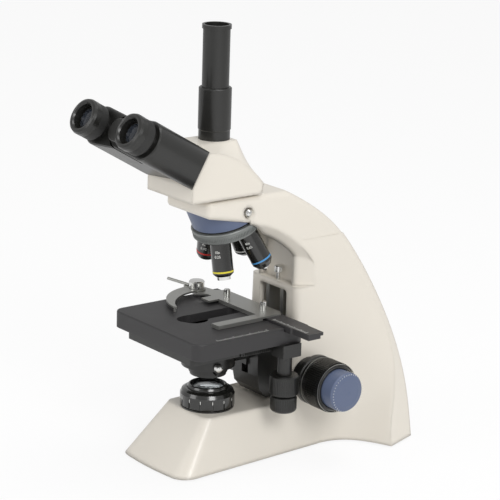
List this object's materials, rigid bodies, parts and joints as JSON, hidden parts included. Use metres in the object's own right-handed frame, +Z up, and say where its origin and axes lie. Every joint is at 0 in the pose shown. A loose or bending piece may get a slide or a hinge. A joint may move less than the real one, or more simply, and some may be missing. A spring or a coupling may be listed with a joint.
{
  "type": "trinocular biological microscope",
  "caption": "Upright laboratory microscope with an inclined twin eyepiece head, a vertical camera tube, a turning objective nosepiece, a mechanical stage and a coaxial focus drive.",
  "frame": {"origin": "on the optical axis, under the middle of the lamp, at the table plane; the base's underside is 2 mm above it", "axes": "+Z up along the optical axis, +X to the user's right, +Y from the user towards the column and the back"},
  "size_m": [0.21, 0.3429, 0.431],
  "materials": {
    "body_white": "smooth semi-gloss off-white paint",
    "blue_grey": "satin blue-grey",
    "ring_grey": "satin",
    "black_paint": "satin black paint",
    "black_plastic": "satin black",
    "stage_coat": "matt black hard coat",
    "objective_black": "gloss black lacquer",
    "bright_metal": "polished",
    "steel": "satin",
    "bronze": "turned",
    "dovetail_alloy": "turned",
    "glass": "polished",
    "board": "matt green",
    "rubber": "matt"
  },
  "bodies": {
    "stand": {"stand_casting": "body_white", "base_cover": "steel", "rubber_feet": "rubber", "cover_screws": "bright_metal", "lamp_collar": "black_plastic", "field_lens": "glass", "led_module": "dovetail_alloy", "control_board": "board", "power_inlet": "black_plastic", "guide_bars": "steel", "shaft_bushes": "bronze", "nosepiece_cap": "blue_grey"},
    "field_ring": {"field_ring": "black_plastic"},
    "power_switch": {"power_switch": "black_plastic"},
    "brightness_knob": {"brightness_knob": "black_plastic"},
    "tension_ring": {"tension_ring": "black_plastic"},
    "stop_screw": {"stop_screw": "bright_metal"},
    "head_clamp_screw": {"head_clamp_screw": "bright_metal"},
    "turret": {"turret_ring": "ring_grey", "turret_plate": "black_paint", "objective_4x": "objective_black", "objective_10x": "objective_black", "objective_40x": "objective_black", "objective_100x": "objective_black"},
    "tip_40x": {"tip_40x": "bright_metal"},
    "tip_100x": {"tip_100x": "bright_metal"},
    "head": {"head_housing": "body_white", "head_dovetail": "dovetail_alloy", "photo_tube": "black_paint", "wing_pivot": "black_paint"},
    "beam_selector": {"beam_rod": "black_paint", "splitter_prism": "glass"},
    "wing_right": {"wing_right": "black_paint", "eyepiece_right": "black_plastic"},
    "diopter_right": {"diopter_right": "black_plastic"},
    "wing_left": {"wing_left": "black_paint", "eyepiece_left": "black_plastic"},
    "diopter_left": {"diopter_left": "black_plastic"},
    "focus_carriage": {"stage_bracket": "black_paint", "focus_rack": "steel", "stage_lower_plate": "black_paint"},
    "coarse_drive": {"coarse_shaft": "bright_metal", "coarse_knobs": "black_plastic"},
    "fine_drive": {"fine_shaft": "bright_metal", "fine_knobs": "blue_grey"},
    "stage_top": {"stage_top_plate": "stage_coat", "drive_housing": "black_paint"},
    "y_knob": {"y_knob": "black_plastic"},
    "x_knob": {"x_knob": "black_plastic"},
    "slide_carriage": {"slide_rail": "black_plastic", "slide_holder": "steel", "holder_screws": "bright_metal"},
    "slide_finger": {"slide_finger": "steel"},
    "condenser": {"condenser_carrier": "black_paint", "condenser_barrel": "black_paint", "condenser_lens": "glass"},
    "iris_ring": {"iris_ring": "black_plastic"},
    "filter_tray": {"filter_tray": "black_paint"},
    "condenser_clamp": {"condenser_clamp": "bright_metal"},
    "condenser_knob": {"condenser_knob": "black_plastic"}
  },
  "joints": [
    {"name": "head_turn", "type": "hinge", "parent": "stand", "child": "head", "pos_m": [0, 0, 0.27], "axis": [0, 0, 1], "continuous": true},
    {"name": "wing_right_fold", "type": "hinge", "parent": "head", "child": "wing_right", "pos_m": [0, -0.04167, 0.30115], "axis": [0, -0.866, 0.5], "range_deg": [-37, 0]},
    {"name": "wing_left_fold", "type": "hinge", "parent": "head", "child": "wing_left", "pos_m": [0, -0.04167, 0.30115], "axis": [0, -0.866, 0.5], "range_deg": [0, 37]},
    {"name": "diopter_right_turn", "type": "hinge", "parent": "wing_right", "child": "diopter_right", "pos_m": [0.0369, -0.04167, 0.30115], "axis": [0, -0.866, 0.5], "range_deg": [-150, 150]},
    {"name": "diopter_left_turn", "type": "hinge", "parent": "wing_left", "child": "diopter_left", "pos_m": [-0.0369, -0.04167, 0.30115], "axis": [0, -0.866, 0.5], "range_deg": [-150, 150]},
    {"name": "beam_rod_pull", "type": "slide", "parent": "head", "child": "beam_selector", "axis": [-1, 0, 0], "range_m": [0, 0.012]},
    {"name": "turret_turn", "type": "hinge", "parent": "stand", "child": "turret", "pos_m": [0, 0, 0.289], "axis": [0, 0.2882, -0.9576], "continuous": true},
    {"name": "tip_40x_spring", "type": "slide", "parent": "turret", "child": "tip_40x", "axis": [-0.2457, -0.4202, 0.8735], "range_m": [0, 0.002], "stiffness_N_per_m": 300, "springref_m": -0.002},
    {"name": "tip_100x_spring", "type": "slide", "parent": "turret", "child": "tip_100x", "axis": [0.1506, -0.5113, 0.8461], "range_m": [0, 0.002], "stiffness_N_per_m": 300, "springref_m": -0.002},
    {"name": "focus_slide", "type": "slide", "parent": "stand", "child": "focus_carriage", "axis": [0, 0, 1], "range_m": [-0.001, 0.03]},
    {"name": "coarse_turn", "type": "hinge", "parent": "stand", "child": "coarse_drive", "pos_m": [0, 0.092, 0.077], "axis": [1, 0, 0], "range_deg": [-360, 14]},
    {"name": "fine_turn", "type": "hinge", "parent": "coarse_drive", "child": "fine_drive", "pos_m": [0, 0.092, 0.077], "axis": [1, 0, 0], "continuous": true},
    {"name": "stage_y_slide", "type": "slide", "parent": "focus_carriage", "child": "stage_top", "axis": [0, 1, 0], "range_m": [-0.043, 0.007]},
    {"name": "y_knob_turn", "type": "hinge", "parent": "stage_top", "child": "y_knob", "pos_m": [0.064, 0.0445, 0.1], "axis": [0, 0, 1], "range_deg": [-310, 52]},
    {"name": "stage_x_slide", "type": "slide", "parent": "stage_top", "child": "slide_carriage", "axis": [1, 0, 0], "range_m": [-0.034, 0.034]},
    {"name": "x_knob_turn", "type": "hinge", "parent": "stage_top", "child": "x_knob", "pos_m": [0.064, 0.0445, 0.1], "axis": [0, 0, 1], "range_deg": [-490, 490]},
    {"name": "finger_swing", "type": "hinge", "parent": "slide_carriage", "child": "slide_finger", "pos_m": [-0.068, 0.035, 0.149], "axis": [0, 0, 1], "range_deg": [-25, 0], "stiffness_Nm_per_rad": 0.05, "springref_deg": 8.59},
    {"name": "condenser_slide", "type": "slide", "parent": "focus_carriage", "child": "condenser", "axis": [0, 0, 1], "range_m": [-0.008, 0]},
    {"name": "condenser_knob_turn", "type": "hinge", "parent": "focus_carriage", "child": "condenser_knob", "pos_m": [0, 0.054, 0.097], "axis": [1, 0, 0], "range_deg": [-5, 156]},
    {"name": "iris_turn", "type": "hinge", "parent": "condenser", "child": "iris_ring", "pos_m": [0, 0, 0.0915], "axis": [0, 0, 1], "range_deg": [0, 60]},
    {"name": "filter_tray_swing", "type": "hinge", "parent": "condenser", "child": "filter_tray", "pos_m": [-0.0225, 0, 0.087], "axis": [0, 0, 1], "range_deg": [-100, 0]},
    {"name": "condenser_clamp_turn", "type": "hinge", "parent": "condenser", "child": "condenser_clamp", "pos_m": [0, 0, 0.0995], "axis": [0.9545, -0.2983, 0], "range_deg": [-180, 180]},
    {"name": "head_clamp_turn", "type": "hinge", "parent": "stand", "child": "head_clamp_screw", "pos_m": [0.033, 0.017, 0.253], "axis": [0.799, 0.3995, -0.4494], "range_deg": [-180, 180]},
    {"name": "stop_screw_turn", "type": "hinge", "parent": "stand", "child": "stop_screw", "pos_m": [0, 0.0845, 0.17], "axis": [0, 0, 1], "range_deg": [-180, 180]},
    {"name": "brightness_turn", "type": "hinge", "parent": "stand", "child": "brightness_knob", "pos_m": [-0.046, 0.03, 0.022], "axis": [-1, 0, 0], "range_deg": [0, 270]},
    {"name": "power_rocker_tilt", "type": "hinge", "parent": "stand", "child": "power_switch", "pos_m": [0.034, 0.1995, 0.024], "axis": [1, 0, 0], "range_deg": [-16, 0]},
    {"name": "field_ring_turn", "type": "hinge", "parent": "stand", "child": "field_ring", "pos_m": [0, 0, 0.06], "axis": [0, 0, 1], "range_deg": [0, 75]},
    {"name": "tension_ring_turn", "type": "hinge", "parent": "stand", "child": "tension_ring", "pos_m": [0, 0.092, 0.077], "axis": [1, 0, 0], "range_deg": [0, 90]}
  ],
  "couplings": [
    {"joint": "wing_left_fold", "follows": "wing_right_fold", "ratio": -1},
    {"joint": "coarse_turn", "follows": "focus_slide", "rad_per_m": -208.33},
    {"joint": "y_knob_turn", "follows": "stage_y_slide", "rad_per_m": 125},
    {"joint": "x_knob_turn", "follows": "stage_x_slide", "rad_per_m": -250},
    {"joint": "condenser_knob_turn", "follows": "condenser_slide", "rad_per_m": -333.33}
  ]
}
